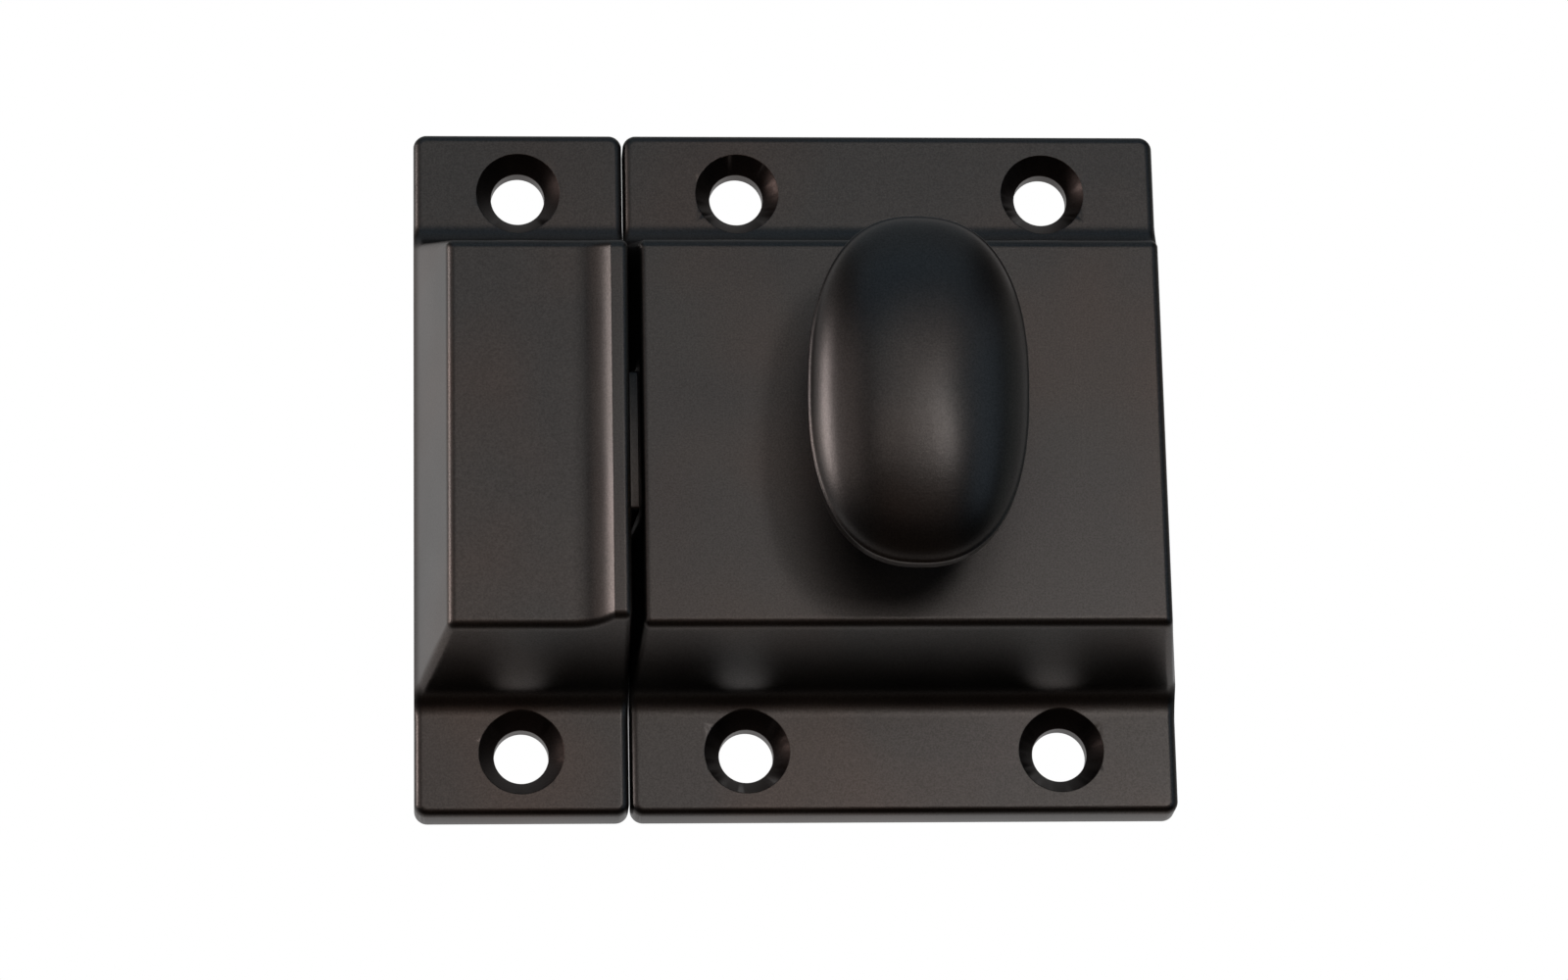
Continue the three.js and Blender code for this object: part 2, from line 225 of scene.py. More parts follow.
def turned(name, profile, x=0.0, z=0.0, sides=96):
    """A profile of (radius, depth) turned about an axis that stands off the back."""
    points, rings = [], []
    for radius, depth in profile:
        if radius == 0:
            rings.append([len(points)] * sides)
            points.append((x, depth, z))
            continue
        rings.append(list(range(len(points), len(points) + sides)))
        turns = (2 * math.pi * i / sides for i in range(sides))
        points += [(x + radius * math.cos(a), depth, z + radius * math.sin(a)) for a in turns]
    faces = []
    for one, two in zip(rings, rings[1:]):
        for i in range(sides):
            j = (i + 1) % sides
            corners = list(dict.fromkeys((one[i], one[j], two[j], two[i])))
            if len(corners) > 2:
                faces.append(tuple(corners))
    return mesh_object(name, points, faces)


def break_edges(made, radius, segments=3, angle=30):
    """Rounds the sharp edges, and shades the rest smooth."""
    step = made.modifiers.new("Broken edges", "BEVEL")
    step.width, step.segments = radius, segments
    step.limit_method, step.angle_limit = "ANGLE", math.radians(angle)
    step.use_clamp_overlap = True
    baked(made)
    return smooth(made)


def smooth(made, angle=35):
    made.data.polygons.foreach_set("use_smooth", [True] * len(made.data.polygons))
    made.data.set_sharp_from_angle(angle=math.radians(angle))
    return made


def hand_in(made, nodes, body, materials):
    """Puts the finished piece in its nodes' place."""
    made.data.materials.clear()
    for material in materials:
        made.data.materials.append(material)
    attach(made, body)
    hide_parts(*nodes)


# ---- castings -------------------------------------------------------------------------------

def rounded_inside(distances, radius):
    """How far a point is inside several flat walls whose shared edges are rounded to radius."""
    short = [np.maximum(radius - distance, 0.0) for distance in distances]
    return radius - np.sqrt(sum(part * part for part in short))


def blended(one, two, reach):
    """The larger of two fields, with a hollow fillet of that reach where they meet."""
    near = np.maximum(reach - np.abs(one - two), 0.0) / reach
    return np.maximum(one, two) + near * near * reach / 4


def wall(across, depth, foot, foot_depth, top, top_depth):
    """Distance inside a sloping wall that rises from (foot, foot_depth) to (top, top_depth), in a section."""
    run, rise = top - foot, top_depth - foot_depth
    distance = ((across - foot) * rise - (depth - foot_depth) * run) / math.hypot(run, rise)
    return distance if rise > 0 else -distance


def grid_lines(*spans):
    """Grid lines from spans of (start, end, step)."""
    lines = [np.arange(start, end, step) for start, end, step in spans]
    return np.unique(np.round(np.append(np.concatenate(lines), spans[-1][1]), 4))


def surface(name, xs, zs, inside, highest):
    """A closed block whose front is where the field called inside reaches zero."""
    x, z = np.meshgrid(xs, zs, indexing="ij")
    low, high = np.zeros_like(x), np.full_like(x, highest)
    for _ in range(HALVINGS):
        middle = (low + high) / 2
        solid = inside(x, z, middle) > -1e-6
        low, high = np.where(solid, middle, low), np.where(solid, high, middle)
    rows, columns = x.shape
    front = np.stack([x.ravel(), low.ravel(), z.ravel()], axis=1).tolist()
    ring = ([(i, 0) for i in range(rows)] + [(rows - 1, j) for j in range(1, columns)]
            + [(i, columns - 1) for i in range(rows - 2, -1, -1)]
            + [(0, j) for j in range(columns - 2, 0, -1)])
    back = [(float(xs[i]), BELOW, float(zs[j])) for i, j in ring]
    faces = [(i * columns + j, (i + 1) * columns + j, (i + 1) * columns + j + 1, i * columns + j + 1)
             for i in range(rows - 1) for j in range(columns - 1)]
    first = rows * columns
    for k, (i, j) in enumerate(ring):
        nxt = (k + 1) % len(ring)
        faces.append((i * columns + j, ring[nxt][0] * columns + ring[nxt][1], first + nxt, first + k))
    faces.append(tuple(range(first, first + len(ring))))
    return mesh_object(name, front + back, faces)


HALVINGS = 30  # steps of the search for the front of a casting
REACH = 1.0  # how far a cutter stands past what it cuts
PLAY = 0.05  # clearance of a close fit
BELOW = -2.0  # how far a blank reaches behind the back plane before it is cut off there
PAST = 0.25  # how far a blank reaches past its outline
EDGE_SLACK = 0.05  # how far past the countersink's rim its dark patina and painted shade reach


def outline_distance(x, z, left, right, half, corner):
    """Distance inside the flange's outline, with its round corners."""
    over_x = np.abs(x - (left + right) / 2) - ((right - left) / 2 - corner)
    over_z = np.abs(z) - (half - corner)
    outside = np.hypot(np.maximum(over_x, 0), np.maximum(over_z, 0))
    return corner - outside - np.minimum(np.maximum(over_x, over_z), 0)


def flange_inside(x, z, depth, left, right):
    size = sizes()
    distance = outline_distance(x, z, left, right, CASE_HIGH, mm(size.corner))
    return rounded_inside([mm(size.flange) - depth, np.maximum(distance, 0)], mm(size.edge))


def end_walls(z, depth, face):
    """Distances inside the upper and lower sloping walls."""
    size = sizes()
    foot, top, thick = mm(size.foot_half), mm(size.face_half), mm(size.flange)
    return wall(-np.abs(z), depth, -foot, thick, -top, face)


def cut_to_outline(blank, left, right):
    outline = rounded_outline(left, right, CASE_LOW, CASE_HIGH, mm(sizes().corner))
    return combine(blank, prism("outline", outline, 0, LIP_TOP + 2 * REACH, through_depth), "INTERSECT")


def countersinks(places):
    size = sizes()
    hole, rim, sink, thick = mm(size.hole), mm(size.rim), mm(size.sink), mm(size.flange)
    profile = [(0, -REACH), (hole, -REACH), (hole, sink), (rim, thick), (rim + 0.6, thick + 0.7),
               (0, thick + 0.7)]
    return merged("countersinks", [turned("hole", profile, x, side * mm(size.hole_height))
                                   for x in places for side in BOTH])


def darken_holes(made, places):
    """Gives the countersinks' faces the second, darker colour: dark patina with painted shade for the recess.
    """
    size = sizes()
    reach = mm(size.rim) + EDGE_SLACK
    middles = [Vector((x * MM, side * size.hole_height)) for x in places for side in BOTH]
    for face in made.data.polygons:
        corners = [made.data.vertices[i].co.xz for i in face.vertices]
        if any(all((corner - middle).length < reach * MM for corner in corners) for middle in middles):
            face.material_index = 1


def end_lines():
    """Grid lines over the height: fine over the edges and the walls, wide over the flats."""
    size = sizes()
    face, foot, cove = mm(size.face_half), mm(size.foot_half), mm(size.cove)
    wide, sloping, curved, edge = 1.4, 0.25, 0.12, 0.07
    upper = grid_lines((0, face - 1, wide), (face - 1, face + 0.4, edge), (face + 0.4, foot - 0.8, sloping),
                       (foot - 0.8, foot + cove + 0.3, curved), (foot + cove + 0.3, CASE_HIGH - 0.9, wide),
                       (CASE_HIGH - 0.9, CASE_HIGH + PAST, edge))
    return np.unique(np.concatenate([-upper, upper]))


CASE_FACE_LEFT, CASE_FACE_RIGHT = CASE_LEFT + 0.75, CASE_RIGHT - 1.2
CASE_CAVITY = (-18.3, 17.3, 13.0, 10.5)
CATCH_FACE = 12.1
CATCH_FACE_LEFT = CATCH_LEFT + 2.55
COVE_START, COVE_END = -25.0, -21.95
POCKET = (-32.6, -22.45, 13.2, 10.3)
BOSS_RADIUS, BOSS_END = 4.9, 9.4  # clear of the bolt's nose when it is drawn in
POST_RADIUS, TAP_RADIUS, TAP_DEPTH = 2.2, 0.85, 7
RIB = {"left": -16.9, "right": 14.9, "outer": 10.6, "shoulder": 4.0, "play": 0.2, "ledge": 0.8}
BUSH_HOLE = 3.45
BOLT_SLOT = {"half": 5.6, "low": 3.65}
LIP_STEEPNESS = 2.4
MOUTH = (6.0, 3.0, 10.2)


class LATCH_OT_case(bpy.types.Operator):
    """Build the cast case with its holes, hollow, ribs and screw posts"""
    bl_idname = "latch.case"
    bl_label = "Latch case"

    def execute(self, context):
        size = sizes()
        thick, round_face = mm(size.flange), mm(size.face_edge)
        wide, side, corner = 1.37, 0.06, 0.035
        xs = grid_lines((CASE_LEFT - PAST, CASE_FACE_LEFT - 0.1, side),
                        (CASE_FACE_LEFT - 0.1, CASE_FACE_LEFT + 0.6, corner),
                        (CASE_FACE_LEFT + 0.6, CASE_FACE_RIGHT - 0.6, wide),
                        (CASE_FACE_RIGHT - 0.6, CASE_FACE_RIGHT + 0.1, corner),
                        (CASE_FACE_RIGHT + 0.1, CASE_RIGHT + PAST, side))

        def inside(x, z, depth):
            raised = rounded_inside([
                CASE_FACE - depth, end_walls(z, depth, CASE_FACE),
                wall(x, depth, CASE_LEFT, thick, CASE_FACE_LEFT, CASE_FACE),
                wall(-x, depth, -CASE_RIGHT, thick, -CASE_FACE_RIGHT, CASE_FACE)], round_face)
            return blended(raised, flange_inside(x, z, depth, CASE_LEFT, CASE_RIGHT), mm(size.cove))

        made = surface("case_casting", xs, end_lines(), inside, LIP_TOP + REACH)
        cut_to_outline(made, CASE_LEFT, CASE_RIGHT)
        left, right, half, ceiling = CASE_CAVITY
        combine(made, box("hollow", left, right, -half, half, -REACH, ceiling), "DIFFERENCE")
        back, root = BACK_FAR + PLAY, ceiling + 0.5
        post = [(0, back), (POST_RADIUS, back), (POST_RADIUS, root), (0, root)]
        combine(made, merged("posts", [turned("post", post, x, z, 32) for x, z in post_places()]), "UNION")
        edge, crest = PLATE_HALF + RIB["play"], ceiling + 0.4
        rib = [(edge, back), (RIB["outer"], back), (RIB["outer"], crest), (PLATE_HALF - RIB["ledge"], crest),
               (PLATE_HALF - RIB["ledge"], RIB["shoulder"]), (edge, RIB["shoulder"])]
        ribs = [prism("rib", [(side * z, d) for z, d in rib], RIB["left"], RIB["right"], along_x)
                for side in BOTH]
        combine(made, merged("ribs", ribs), "UNION")
        boss = [(0, BOSS_END), (BOSS_RADIUS, BOSS_END), (BOSS_RADIUS, root), (0, root)]
        combine(made, turned("boss", boss, sides=48), "UNION")
        tap = [(0, 0), (TAP_RADIUS, 0), (TAP_RADIUS, TAP_DEPTH), (0, TAP_DEPTH)]
        taps = [turned("tap", tap, x, z, 32) for x, z in post_places()]
        past_face = CASE_FACE + REACH
        bush = turned("bush_hole", [(0, 5), (BUSH_HOLE, 5), (BUSH_HOLE, past_face), (0, past_face)])
        slot = box("slot", CASE_LEFT - REACH, left + REACH, -BOLT_SLOT["half"], BOLT_SLOT["half"],
                   BOLT_SLOT["low"], NOSE_FRONT + 0.2)
        combine(made, merged("cuts", [bush, slot, *taps]), "DIFFERENCE")
        apart = mm(size.hole_apart)
        combine(made, countersinks([-apart, apart]), "DIFFERENCE")
        smooth(made, 25)
        hand_in(made, ["latch_case"], "case", [cast_bronze(), patina_and_painted_shade_bronze()])
        # The countersinks take the darker colour: patina with painted shade.
        darken_holes(made, [-apart, apart])
        return {"FINISHED"}


class LATCH_OT_catch(bpy.types.Operator):
    """Build the cast catch with its hood, strike lip, pocket and holes"""
    bl_idname = "latch.catch_plate"
    bl_label = "Catch"

    def execute(self, context):
        size = sizes()
        thick, round_face = mm(size.flange), mm(size.face_edge)
        flat, sloping, edge, cove, lip = 1.2, 0.16, 0.06, 0.1, 0.05
        xs = grid_lines((CATCH_LEFT - PAST, CATCH_LEFT + 0.8, 0.07),
                        (CATCH_LEFT + 0.8, CATCH_FACE_LEFT - 0.4, sloping),
                        (CATCH_FACE_LEFT - 0.4, CATCH_FACE_LEFT + 0.6, edge),
                        (CATCH_FACE_LEFT + 0.6, COVE_START, flat), (COVE_START, COVE_END - 0.4, cove),
                        (COVE_END - 0.4, COVE_END + 0.5, lip), (COVE_END + 0.5, CATCH_RIGHT + PAST, lip))

        def inside(x, z, depth):
            rise = np.clip((x - COVE_START) / (COVE_END - COVE_START), 0, 1)
            top = CATCH_FACE + (LIP_TOP - CATCH_FACE) * rise ** LIP_STEEPNESS
            raised = rounded_inside([
                top - depth, end_walls(z, depth, CATCH_FACE),
                wall(x, depth, CATCH_LEFT, thick, CATCH_FACE_LEFT, CATCH_FACE), CATCH_RIGHT - x], round_face)
            return blended(raised, flange_inside(x, z, depth, CATCH_LEFT, CATCH_RIGHT), mm(size.cove))

        made = surface("catch_casting", xs, end_lines(), inside, LIP_TOP + REACH)
        cut_to_outline(made, CATCH_LEFT, CATCH_RIGHT)
        left, right, half, ceiling = POCKET
        combine(made, box("pocket", left, right, -half, half, -REACH, ceiling), "DIFFERENCE")
        mouth_half, mouth_low, mouth_high = MOUTH
        mouth = box("mouth", right - REACH, CATCH_RIGHT + REACH, -mouth_half, mouth_half, mouth_low,
                    mouth_high)
        combine(made, mouth, "DIFFERENCE")
        middle = (CATCH_LEFT + CATCH_RIGHT) / 2
        combine(made, countersinks([middle]), "DIFFERENCE")
        smooth(made, 25)
        hand_in(made, ["catch_plate"], "catch", [cast_bronze(), patina_and_painted_shade_bronze()])
        # The countersink takes the darker colour: patina with painted shade.
        darken_holes(made, [middle])
        return {"FINISHED"}


def post_places():
    places = []
    for node in SCREWS:
        left, right, low, high, *_ = extent(node)
        places.append(((left + right) / 2, (low + high) / 2))
    return places


# ---- knob, bolt and back --------------------------------------------------------------------

BORE_RADIUS, BORE_END = 2.55, 23.05
RIM_BACK, RIM_FRONT = 21.6, 22.4  # the narrow side band between the knob's back and its dome
DOME_SUNK = 1.0  # the dome's own middle lies this far behind the band, so that it meets it at a soft edge
DOME_INSET = 0.14  # how far the dome's edge lies inside the band
FULLNESS = 2.42  # 2 is a plain ellipse, and more is fuller
LEAN = math.radians(1.6)  # the knob rests this far clockwise of upright


def knob_rings():
    """Half width, half height, depth and fullness of each ring, over the stem, back, band and dome."""
    wide, tall = mm(sizes().knob_half_width), mm(sizes().knob_half_height)
    stem = [(4.3, 4.3, STEM_LOW, 2), (4.3, 4.3, STEM_LOW + 0.5, 2), (3.95, 3.95, 14.9, 2),
            (4.0, 4.1, 16.0, 2), (4.5, 5.4, 17.1, 2.05), (5.6, 8.0, 18.2, 2.15),
            (6.8, 10.7, 19.4, 2.3), (7.65, 12.4, 20.5, 2.4)]
    band = [(wide - 0.06, tall - 0.08, RIM_BACK - 0.4, FULLNESS), (wide, tall, RIM_BACK, FULLNESS),
            (wide - 0.01, tall - 0.01, RIM_FRONT - 0.2, FULLNESS),
            (wide - 0.05, tall - 0.05, RIM_FRONT, FULLNESS)]
    rise = KNOB_FRONT - RIM_FRONT + DOME_SUNK
    first = math.asin(DOME_SUNK / rise)
    dome, steps = [], 14
    for i in range(steps):
        angle = first + (math.pi / 2 - first) * (i + 0.25) / steps
        share = math.cos(angle) / math.cos(first)
        depth = RIM_FRONT - DOME_SUNK + rise * math.sin(angle)
        dome.append(((wide - DOME_INSET) * share, (tall - DOME_INSET) * share, depth, FULLNESS))
    return [*stem, *band, *dome, (0, 0, KNOB_FRONT, FULLNESS)]


class LATCH_OT_knob(bpy.types.Operator):
    """Build the oval turn knob on its stem"""
    bl_idname = "latch.knob"
    bl_label = "Turn knob"

    def execute(self, context):
        bore = [(0, 0, BORE_END, 2), (BORE_RADIUS, BORE_RADIUS, BORE_END, 2),
                (BORE_RADIUS, BORE_RADIUS, STEM_LOW, 2)]
        made = oval_rings("knob_casting", [*bore, *smooth_rings(knob_rings())])
        made.data.transform(Matrix.Rotation(LEAN, 4, "Y"))
        hand_in(smooth(made, 50), ["turn_knob"], "knob", [cast_bronze()])
        return {"FINISHED"}


def smooth_rings(rings, steps=3):
    """The rings joined by a smooth curve through them all."""
    table = np.array([rings[0], *rings, rings[-1]], float)
    made = []
    for i in range(1, len(table) - 2):
        a, b, c, d = table[i - 1:i + 3]
        for t in np.arange(steps) / steps:
            point = 0.5 * (2 * b + (c - a) * t + (2 * a - 5 * b + 4 * c - d) * t ** 2
                           + (3 * b - a - 3 * c + d) * t ** 3)
            made.append(tuple(float(value) for value in point))
    return [*made, tuple(rings[-1])]


def fuller(part, fullness):
    """A unit circle's coordinate moved out to a fuller oval."""
    return math.copysign(abs(part) ** (2 / fullness), part)


def oval_rings(name, rings, sides=160):
    points, faces, loops = [], [], []
    for wide, tall, depth, fullness in rings:
        if wide == 0:
            loops.append([len(points)] * sides)
            points.append((0, depth, 0))
            continue
        loops.append(list(range(len(points), len(points) + sides)))
        turns = (2 * math.pi * i / sides for i in range(sides))
        points += [(wide * fuller(math.cos(a), fullness), depth, tall * fuller(math.sin(a), fullness))
                   for a in turns]
    for one, two in zip(loops, loops[1:]):
        for i in range(sides):
            j = (i + 1) % sides
            corners = list(dict.fromkeys((one[i], one[j], two[j], two[i])))
            if len(corners) > 2:
                faces.append(tuple(corners))
    return mesh_object(name, points, faces)


PLATE_LEFT, PLATE_THICK = -18, 2.4
NOSE = {"end": -10.8, "root": -17, "bevel_end": -20.9, "blunt": 1, "half": 5.4}
LUG = {"left": 5.2, "right": 7, "half": 3, "top": 8.4}
PIN_PLAY, PIN_SLOT_TOP = 0.12, 7.7
GUIDE_RADIUS, GUIDE_DEPTH = 1.05, 6.2


class LATCH_OT_bolt(bpy.types.Operator):
    """Build the bolt: slide plate, bevelled nose and spring lug"""
    bl_idname = "latch.bolt"
    bl_label = "Bolt"

    def execute(self, context):
        size = sizes()
        plate_top = PLATE_BACK + PLATE_THICK
        made = box("bolt_casting", PLATE_LEFT, PLATE_RIGHT, -PLATE_HALF, PLATE_HALF, PLATE_BACK, plate_top)
        sunk = plate_top - REACH
        nose = [(NOSE["end"], sunk), (NOSE["root"], sunk), (NOSE["root"], plate_top),
                (NOSE["bevel_end"], plate_top), (NOSE_TIP, NOSE_FRONT - NOSE["blunt"]), (NOSE_TIP, NOSE_FRONT),
                (NOSE["end"], NOSE_FRONT)]
        combine(made, prism("nose", nose, -NOSE["half"], NOSE["half"], along_z), "UNION")
        lug = box("lug", LUG["left"], LUG["right"], -LUG["half"], LUG["half"], sunk, LUG["top"])
        combine(made, lug, "UNION")
        left, right, low, _, _, _ = extent("cam_pin")
        slot = box("slot", left - PIN_PLAY, right + PIN_PLAY, low - 2 * PIN_PLAY, PIN_SLOT_TOP, 0,
                   plate_top + REACH)
        angles = np.linspace(0, 2 * math.pi, 32, endpoint=False)
        circle = [(GUIDE_RADIUS * math.cos(a), GUIDE_DEPTH + GUIDE_RADIUS * math.sin(a)) for a in angles]
        guide = prism("guide_hole", circle, LUG["left"] - 1.2, LUG["right"] + REACH, along_x)
        combine(made, merged("bolt_cuts", [slot, guide]), "DIFFERENCE")
        break_edges(made, size.break_edge * 2)
        hand_in(made, ["latch_bolt"], "bolt", [cast_bronze()])
        return {"FINISHED"}


BACK_CORNER = 0.6
SCREW_HEAD, SCREW_SHANK = 1.6, 0.8
SCREW_SLOT_HALF, SCREW_SLOT_DEPTH = 0.2, 0.45
WIRE = 0.25  # radius of the spring's wire


class LATCH_OT_back(bpy.types.Operator):
    """Build the back plate and the four slotted screws that hold it"""
    bl_idname = "latch.back"
    bl_label = "Back plate and screws"

    def execute(self, context):
        size = sizes()
        outline = rounded_outline(BACK_LEFT, BACK_RIGHT, BACK_LOW, BACK_HIGH, BACK_CORNER)
        made = prism("stamped_back", outline, BACK_NEAR, BACK_FAR, through_depth)
        head, shank, slip = SCREW_HEAD, SCREW_SHANK, 0.1
        cone = [(0, BACK_NEAR - REACH), (head + slip, BACK_NEAR - REACH), (head + slip, BACK_NEAR),
                (shank + slip, BACK_FAR), (shank + slip, BACK_FAR + REACH), (0, BACK_FAR + REACH)]
        cones = [turned("cone", cone, x, z, 48) for x, z in post_places()]
        combine(made, merged("cones", cones), "DIFFERENCE")
        break_edges(made, size.break_edge)
        hand_in(made, ["back_plate"], "case", [zinc_steel()])
        for node, (x, z) in zip(SCREWS, post_places()):
            *_, near, far = extent(node)
            profile = [(0, near), (head - 0.06, near), (head, near + 0.08), (shank, BACK_FAR),
                       (shank, far - 0.3), (shank - 0.3, far), (0, far)]
            screw = turned(f"{node}_turned", profile, x, z, 48)
            slot = box("screw_slot", x - 2, x + 2, z - SCREW_SLOT_HALF, z + SCREW_SLOT_HALF, near - REACH,
                       near + SCREW_SLOT_DEPTH)
            combine(screw, slot, "DIFFERENCE")
            hand_in(smooth(screw), [node], "case", [zinc_steel()])
        return {"FINISHED"}


class LATCH_OT_works(bpy.types.Operator):
    """Finish the turned and stamped pieces inside, and wind the spring"""
    bl_idname = "latch.works"
    bl_label = "Works inside"

    def execute(self, context):
        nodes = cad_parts
        for name in ("spring_guide_pin", "knob_spindle", "knob_set_screw", "thrust_washer", "bolt_cam",
                     "cam_pin", "nut_washer"):
            paint(nodes[name], zinc_steel())
        for name in ("spindle_bush", "face_washer", "spindle_nut"):
            paint(nodes[name], turned_brass())
        spring = coil("wound_spring", SPRING_LEFT, SPRING_RIGHT)
        hand_in(smooth(spring, 60), ["bolt_spring"], "case", [zinc_steel()])
        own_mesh(spring)
        return {"FINISHED"}


def paint(node, material):
    node.data.materials.clear()
    node.data.materials.append(material)


def coil(name, left, right, turns=6, steps=40, sides=12):
    """A coil spring along X, about the middle of its CAD node."""
    low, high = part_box("bolt_spring")
    wire = WIRE
    middle = -(low.y + high.y) / 2 / MM
    radius = (high.z - low.z) / 2 / MM - wire
    points, faces = [], []
    count = turns * steps
    for i in range(count + 1):
        angle = 2 * math.pi * i / steps
        x = left + wire + (right - left - 2 * wire) * i / count
        for k in range(sides):
            around = 2 * math.pi * k / sides
            out = radius + wire * math.cos(around)
            points.append((x + wire * math.sin(around), middle - out * math.sin(angle),
                           out * math.cos(angle)))
    for i in range(count):
        for k in range(sides):
            n = (k + 1) % sides
            faces.append((i * sides + k, i * sides + n, (i + 1) * sides + n, (i + 1) * sides + k))
    faces += [tuple(range(sides)), tuple(range(count * sides, (count + 1) * sides))]
    return mesh_object(name, points, faces)


# ---- materials ------------------------------------------------------------------------------

def node(tree, kind, settings=None, links=None):
    """Adds a node; settings name its attributes or sockets, and links maps sockets to outputs."""
    made = tree.nodes.new(kind)
    for key, value in (settings or {}).items():
        if isinstance(key, str) and hasattr(made, key):
            setattr(made, key, value)
        else:
            made.inputs[key].default_value = value
    for key, source in (links or {}).items():
        tree.links.new(source, made.inputs[key])
    return made


def new_material(name):
    """An empty material with its output and shader, or None with the one that exists."""
    found = bpy.data.materials.get(name)
    if found:
        return found, None, None
    material = bpy.data.materials.new(name)
    material.use_nodes = True
    tree = material.node_tree
    shader = next(n for n in tree.nodes if n.type == "BSDF_PRINCIPLED")
    return material, tree, shader


def per_size(millimetres):
    """A noise scale whose patches are about this many millimetres across."""
    return 1 / (millimetres * MM)


def opaque(rgb):
    return (*rgb, 1.0)


def bronze(name, dark, body, warm_share):
    """Oil-rubbed bronze on cast brass, tumbled and lacquered: dark, satin, faintly clouded, fine-grained."""
    material, tree, shader = new_material(name)
    if not tree:
        return material
    place = node(tree, "ShaderNodeTexCoord").outputs["Object"]
    clouds = node(tree, "ShaderNodeTexNoise", {"Scale": per_size(11), "Detail": 2.0, "Roughness": 0.5},
                  {"Vector": place})
    share = node(tree, "ShaderNodeMapRange", {"From Min": 0.3, "From Max": 0.7},
                 {"Value": clouds.outputs["Fac"]})
    cloudy = node(tree, "ShaderNodeMix", {"data_type": "RGBA"}, {0: share.outputs["Result"]})
    cloudy.inputs[6].default_value = opaque(dark)
    cloudy.inputs[7].default_value = opaque(body)
    warm = node(tree, "ShaderNodeTexNoise", {"Scale": per_size(16), "Detail": 2.0}, {"Vector": place})
    warm_part = node(tree, "ShaderNodeMapRange", {"From Min": 0.45, "From Max": 0.75, "To Max": warm_share},
                     {"Value": warm.outputs["Fac"]})
    warmed = node(tree, "ShaderNodeMix", {"data_type": "RGBA"},
                  {0: warm_part.outputs["Result"], 6: cloudy.outputs[2]})
    warmed.inputs[7].default_value = opaque(colours().bronze_warm)
    # The tumbled grain is about 0.05 mm; it is drawn at 0.14 mm so that it shows.
    grain = node(tree, "ShaderNodeTexNoise", {"Scale": per_size(0.14), "Detail": 2.0, "Roughness": 0.6},
                 {"Vector": place})
    # The faces are also rubbed sideways, which leaves fine short lines.
    rubbed_place = node(tree, "ShaderNodeMapping", {"Scale": (0.12, 1.0, 1.0)}, {"Vector": place})
    rubbed = node(tree, "ShaderNodeTexNoise", {"Scale": per_size(0.2), "Detail": 2.0},
                  {"Vector": rubbed_place.outputs["Vector"]})
    fleck = node(tree, "ShaderNodeMapRange",
                 {"From Min": 0.3, "From Max": 0.7, "To Min": 0.82, "To Max": 1.18},
                 {"Value": grain.outputs["Fac"]})
    flecked = node(tree, "ShaderNodeMix", {"data_type": "RGBA", "blend_type": "MULTIPLY", 0: 1.0},
                   {6: warmed.outputs[2], 7: fleck.outputs["Result"]})
    tree.links.new(flecked.outputs[2], shader.inputs["Base Color"])
    rough = node(tree, "ShaderNodeMapRange",
                 {"From Min": 0.3, "From Max": 0.7, "To Min": 0.33, "To Max": 0.4},
                 {"Value": clouds.outputs["Fac"]})
    tree.links.new(rough.outputs["Result"], shader.inputs["Roughness"])
    rounded = node(tree, "ShaderNodeBevel", {"samples": 6, "Radius": sizes().break_edge})
    grain_bump = node(tree, "ShaderNodeBump", {"Strength": 0.35, "Distance": 0.012 * MM},
                      {"Height": grain.outputs["Fac"], "Normal": rounded.outputs["Normal"]})
    rubbed_bump = node(tree, "ShaderNodeBump", {"Strength": 0.3, "Distance": 0.012 * MM},
                       {"Height": rubbed.outputs["Fac"], "Normal": grain_bump.outputs["Normal"]})
    tree.links.new(rubbed_bump.outputs["Normal"], shader.inputs["Normal"])
    shader.inputs["Metallic"].default_value = 1.0
    return material


def cast_bronze():
    shade = colours()
    return bronze("oil_rubbed_bronze_tumbled", shade.bronze_dark, shade.bronze, 0.5)


def patina_and_painted_shade_bronze():
    """The same finish in the countersinks, darker for the patina that pools there where rubbing doesn't reach
    and for painted shade in the recess.
    """
    shade = colours()
    return bronze("oil_rubbed_bronze_patina_and_painted_shade", shade.bronze_patina_and_painted_shade, shade.bronze_patina_and_painted_shade, 0.25)


def zinc_steel():
    """Zinc-plated mild steel, rolled and stamped: pale grey, softly clouded, with rolling lines."""
    material, tree, shader = new_material("zinc_plated_steel_rolled")
    if not tree:
        return material
    place = node(tree, "ShaderNodeTexCoord").outputs["Object"]
    lines_place = node(tree, "ShaderNodeMapping", {"Scale": (1.0, 1.0, 0.06)}, {"Vector": place})
    lines = node(tree, "ShaderNodeTexNoise", {"Scale": per_size(0.3), "Detail": 3.0},
                 {"Vector": lines_place.outputs["Vector"]})
    clouds = node(tree, "ShaderNodeTexNoise", {"Scale": per_size(5), "Detail": 3.0}, {"Vector": place})
    tint = node(tree, "ShaderNodeMix", {"data_type": "RGBA"}, {0: clouds.outputs["Fac"]})
    tint.inputs[6].default_value = opaque(colours().zinc)
    tint.inputs[7].default_value = opaque([0.75 * c for c in colours().zinc])
    tree.links.new(tint.outputs[2], shader.inputs["Base Color"])
    rough = node(tree, "ShaderNodeMapRange", {"To Min": 0.28, "To Max": 0.42},
                 {"Value": lines.outputs["Fac"]})
    tree.links.new(rough.outputs["Result"], shader.inputs["Roughness"])
    bump = node(tree, "ShaderNodeBump", {"Strength": 0.3, "Distance": 0.01 * MM},
                {"Height": lines.outputs["Fac"]})
    tree.links.new(bump.outputs["Normal"], shader.inputs["Normal"])
    shader.inputs["Metallic"].default_value = 1.0
    return material


